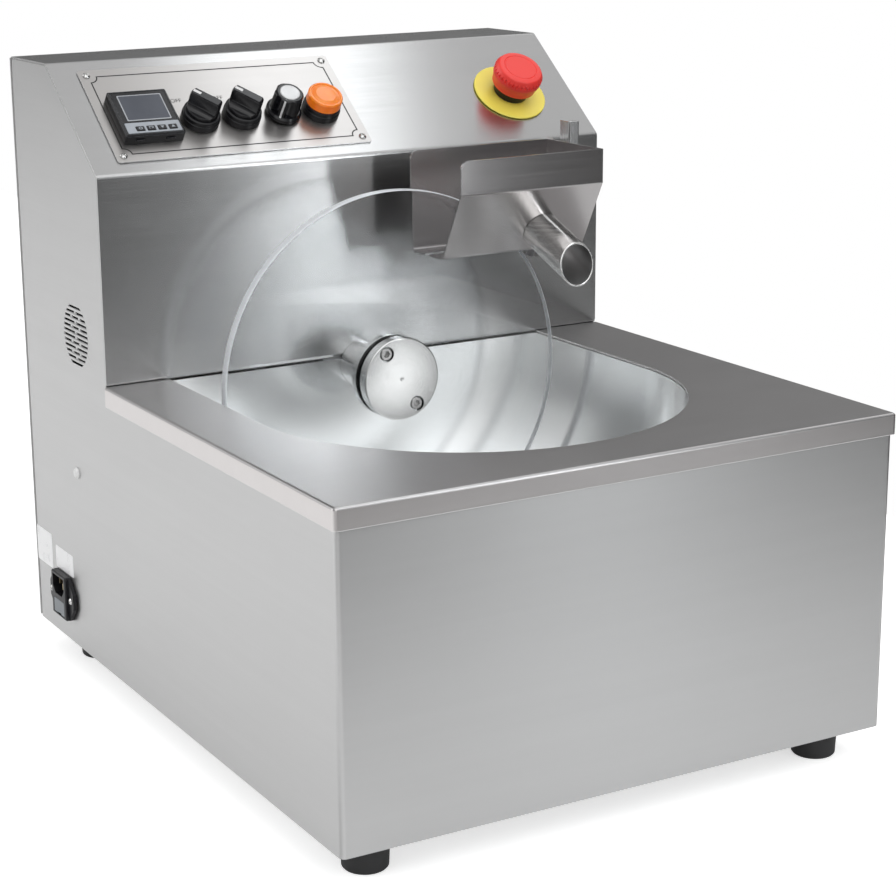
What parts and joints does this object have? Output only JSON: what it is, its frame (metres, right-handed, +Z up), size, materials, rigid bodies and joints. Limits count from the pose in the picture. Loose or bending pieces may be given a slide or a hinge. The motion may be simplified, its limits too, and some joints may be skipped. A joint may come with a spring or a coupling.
{
  "type": "chocolate tempering machine",
  "caption": "Stainless steel chocolate tempering machine: a clear disc turns in a heated bowl beside a scraper trough with a spout, below a sloped control panel.",
  "frame": {"origin": "on the floor, under the middle of the machine's box", "axes": "+Z up, the front with the bowl faces -Y, +X to the right seen from the front"},
  "size_m": [0.4378, 0.5336, 0.48],
  "materials": {
    "sheet_steel": "brushed",
    "bowl_steel": "polished",
    "trough_steel": "brushed",
    "spout_steel": "polished",
    "machined_steel": "fine turned",
    "screw_steel": "polished",
    "clear_plastic": "clear",
    "foot_rubber": "matte",
    "seal_rubber": "matte",
    "heater_silicone": "matte",
    "gear_casting": "cast",
    "black_plastic": "satin",
    "window_plastic": "glossy",
    "grey_plastic": "matte",
    "red_plastic": "satin",
    "yellow_plastic": "satin",
    "orange_lens": "translucent",
    "circuit_board": "matte"
  },
  "bodies": {
    "machine": {"cabinet_wrap": "sheet_steel", "base_tray": "sheet_steel", "deck_lid": "sheet_steel", "tower_sheet": "sheet_steel", "rear_cover": "sheet_steel", "control_plate": "sheet_steel", "electrics_plate": "sheet_steel", "bowl": "bowl_steel", "hopper_post": "machined_steel", "shaft_sleeve": "machined_steel", "shaft_bearing": "machined_steel", "temperature_probe": "machined_steel", "speed_potentiometer": "machined_steel", "foot_front_left": "foot_rubber", "foot_front_right": "foot_rubber", "foot_rear_left": "foot_rubber", "foot_rear_right": "foot_rubber", "shaft_seal": "seal_rubber", "bowl_heater": "heater_silicone", "bearing_housing": "gear_casting", "motor_bracket": "gear_casting", "gearbox": "gear_casting", "motor": "gear_casting", "temperature_controller": "black_plastic", "heater_switch_body": "black_plastic", "motor_switch_body": "black_plastic", "pilot_lamp_body": "black_plastic", "stop_body": "black_plastic", "power_inlet": "black_plastic", "fan_frame": "black_plastic", "terminal_block": "black_plastic", "controller_window": "window_plastic", "solid_state_relay": "grey_plastic", "stop_ring": "yellow_plastic", "pilot_lamp_lens": "orange_lens", "speed_board": "circuit_board"},
    "disc_drive": {"drive_shaft": "machined_steel", "hub_rear": "machined_steel", "disc": "clear_plastic", "hub_gasket": "seal_rubber", "hub_front": "machined_steel", "hub_screw_1": "screw_steel", "hub_screw_2": "screw_steel", "shaft_coupling": "machined_steel", "gearbox_shaft": "machined_steel"},
    "fan_rotor": {"fan_impeller": "black_plastic"},
    "heater_switch": {"heater_switch_knob": "black_plastic"},
    "motor_switch": {"motor_switch_knob": "black_plastic"},
    "speed_dial": {"speed_knob": "black_plastic"},
    "stop_plunger": {"stop_stem": "grey_plastic"},
    "stop_head": {"stop_button": "red_plastic"},
    "key_1": {"controller_key_1": "black_plastic"},
    "key_2": {"controller_key_2": "black_plastic"},
    "key_3": {"controller_key_3": "black_plastic"},
    "key_4": {"controller_key_4": "black_plastic"},
    "hopper": {"hopper_trough": "trough_steel", "hopper_spout": "spout_steel", "hopper_hanger": "trough_steel"},
    "fuse_tray": {"fuse_drawer": "grey_plastic"}
  },
  "joints": [
    {"name": "disc_spin", "type": "hinge", "parent": "machine", "child": "disc_drive", "pos_m": [-0.0029, 0.04, 0.245], "axis": [0, 1, 0], "continuous": true},
    {"name": "fan_spin", "type": "hinge", "parent": "machine", "child": "fan_rotor", "pos_m": [-0.2049, 0.152, 0.28], "axis": [1, 0, 0], "continuous": true},
    {"name": "heater_switch_turn", "type": "hinge", "parent": "machine", "child": "heater_switch", "pos_m": [-0.1144, 0.13172, 0.43569], "axis": [0, 0.6186, -0.7857], "range_deg": [0, 90]},
    {"name": "motor_switch_turn", "type": "hinge", "parent": "machine", "child": "motor_switch", "pos_m": [-0.0804, 0.13172, 0.43569], "axis": [0, 0.6186, -0.7857], "range_deg": [0, 90]},
    {"name": "speed_dial_turn", "type": "hinge", "parent": "machine", "child": "speed_dial", "pos_m": [-0.0454, 0.13172, 0.43569], "axis": [0, 0.6186, -0.7857], "range_deg": [0, 282]},
    {"name": "stop_press", "type": "slide", "parent": "machine", "child": "stop_plunger", "axis": [0, 0.6186, -0.7857], "range_m": [0, 0.006]},
    {"name": "stop_twist", "type": "hinge", "parent": "stop_plunger", "child": "stop_head", "pos_m": [0.1596, 0.13486, 0.43817], "axis": [0, 0.6186, -0.7857], "range_deg": [0, 45], "stiffness_Nm_per_rad": 0.05},
    {"name": "key_1_press", "type": "slide", "parent": "machine", "child": "key_1", "axis": [0, 0.6186, -0.7857], "range_m": [0, 0.0006], "stiffness_N_per_m": 400},
    {"name": "key_2_press", "type": "slide", "parent": "machine", "child": "key_2", "axis": [0, 0.6186, -0.7857], "range_m": [0, 0.0006], "stiffness_N_per_m": 400},
    {"name": "key_3_press", "type": "slide", "parent": "machine", "child": "key_3", "axis": [0, 0.6186, -0.7857], "range_m": [0, 0.0006], "stiffness_N_per_m": 400},
    {"name": "key_4_press", "type": "slide", "parent": "machine", "child": "key_4", "axis": [0, 0.6186, -0.7857], "range_m": [0, 0.0006], "stiffness_N_per_m": 400},
    {"name": "hopper_lift", "type": "slide", "parent": "machine", "child": "hopper", "axis": [0, 0, 1], "range_m": [0, 0.1]},
    {"name": "fuse_tray_slide", "type": "slide", "parent": "machine", "child": "fuse_tray", "axis": [-1, 0, 0], "range_m": [0, 0.015]}
  ]
}
